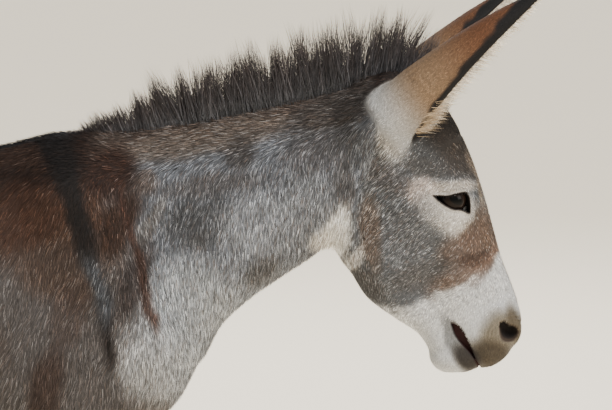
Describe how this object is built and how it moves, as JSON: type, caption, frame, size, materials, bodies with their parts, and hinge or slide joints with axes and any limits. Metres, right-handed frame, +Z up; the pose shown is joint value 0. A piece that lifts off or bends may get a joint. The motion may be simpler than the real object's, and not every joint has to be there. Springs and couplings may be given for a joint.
{
  "type": "donkey",
  "caption": "Life-size still model of a grey roan donkey, standing square with its head lowered a little, ears forward and an upright dark mane.",
  "frame": {"origin": "on the ground under the middle of the animal's length, half way between its left and right sides", "axes": "+X towards the head, +Y to the animal's left, +Z up"},
  "size_m": [1.7582, 0.3902, 1.3633],
  "materials": {
    "coat": "short rough hair, grey roan over brown, matt",
    "long_hair": "coarse black-brown hair with a slight sheen",
    "horn": "dark hoof horn with growth rings, satin",
    "eye": "wet dark brown eye"
  },
  "bodies": {
    "root": {"trunk": "coat", "neck": "coat", "head": "coat", "mane": "long_hair", "tail_dock": "coat", "tail_switch": "long_hair", "ear_left": "coat", "eye_left": "eye", "foreleg_left": "coat", "hindleg_left": "coat", "fore_hoof_left": "horn", "hind_hoof_left": "horn", "ear_right": "coat", "eye_right": "eye", "foreleg_right": "coat", "hindleg_right": "coat", "fore_hoof_right": "horn", "hind_hoof_right": "horn"}
  },
  "joints": []
}
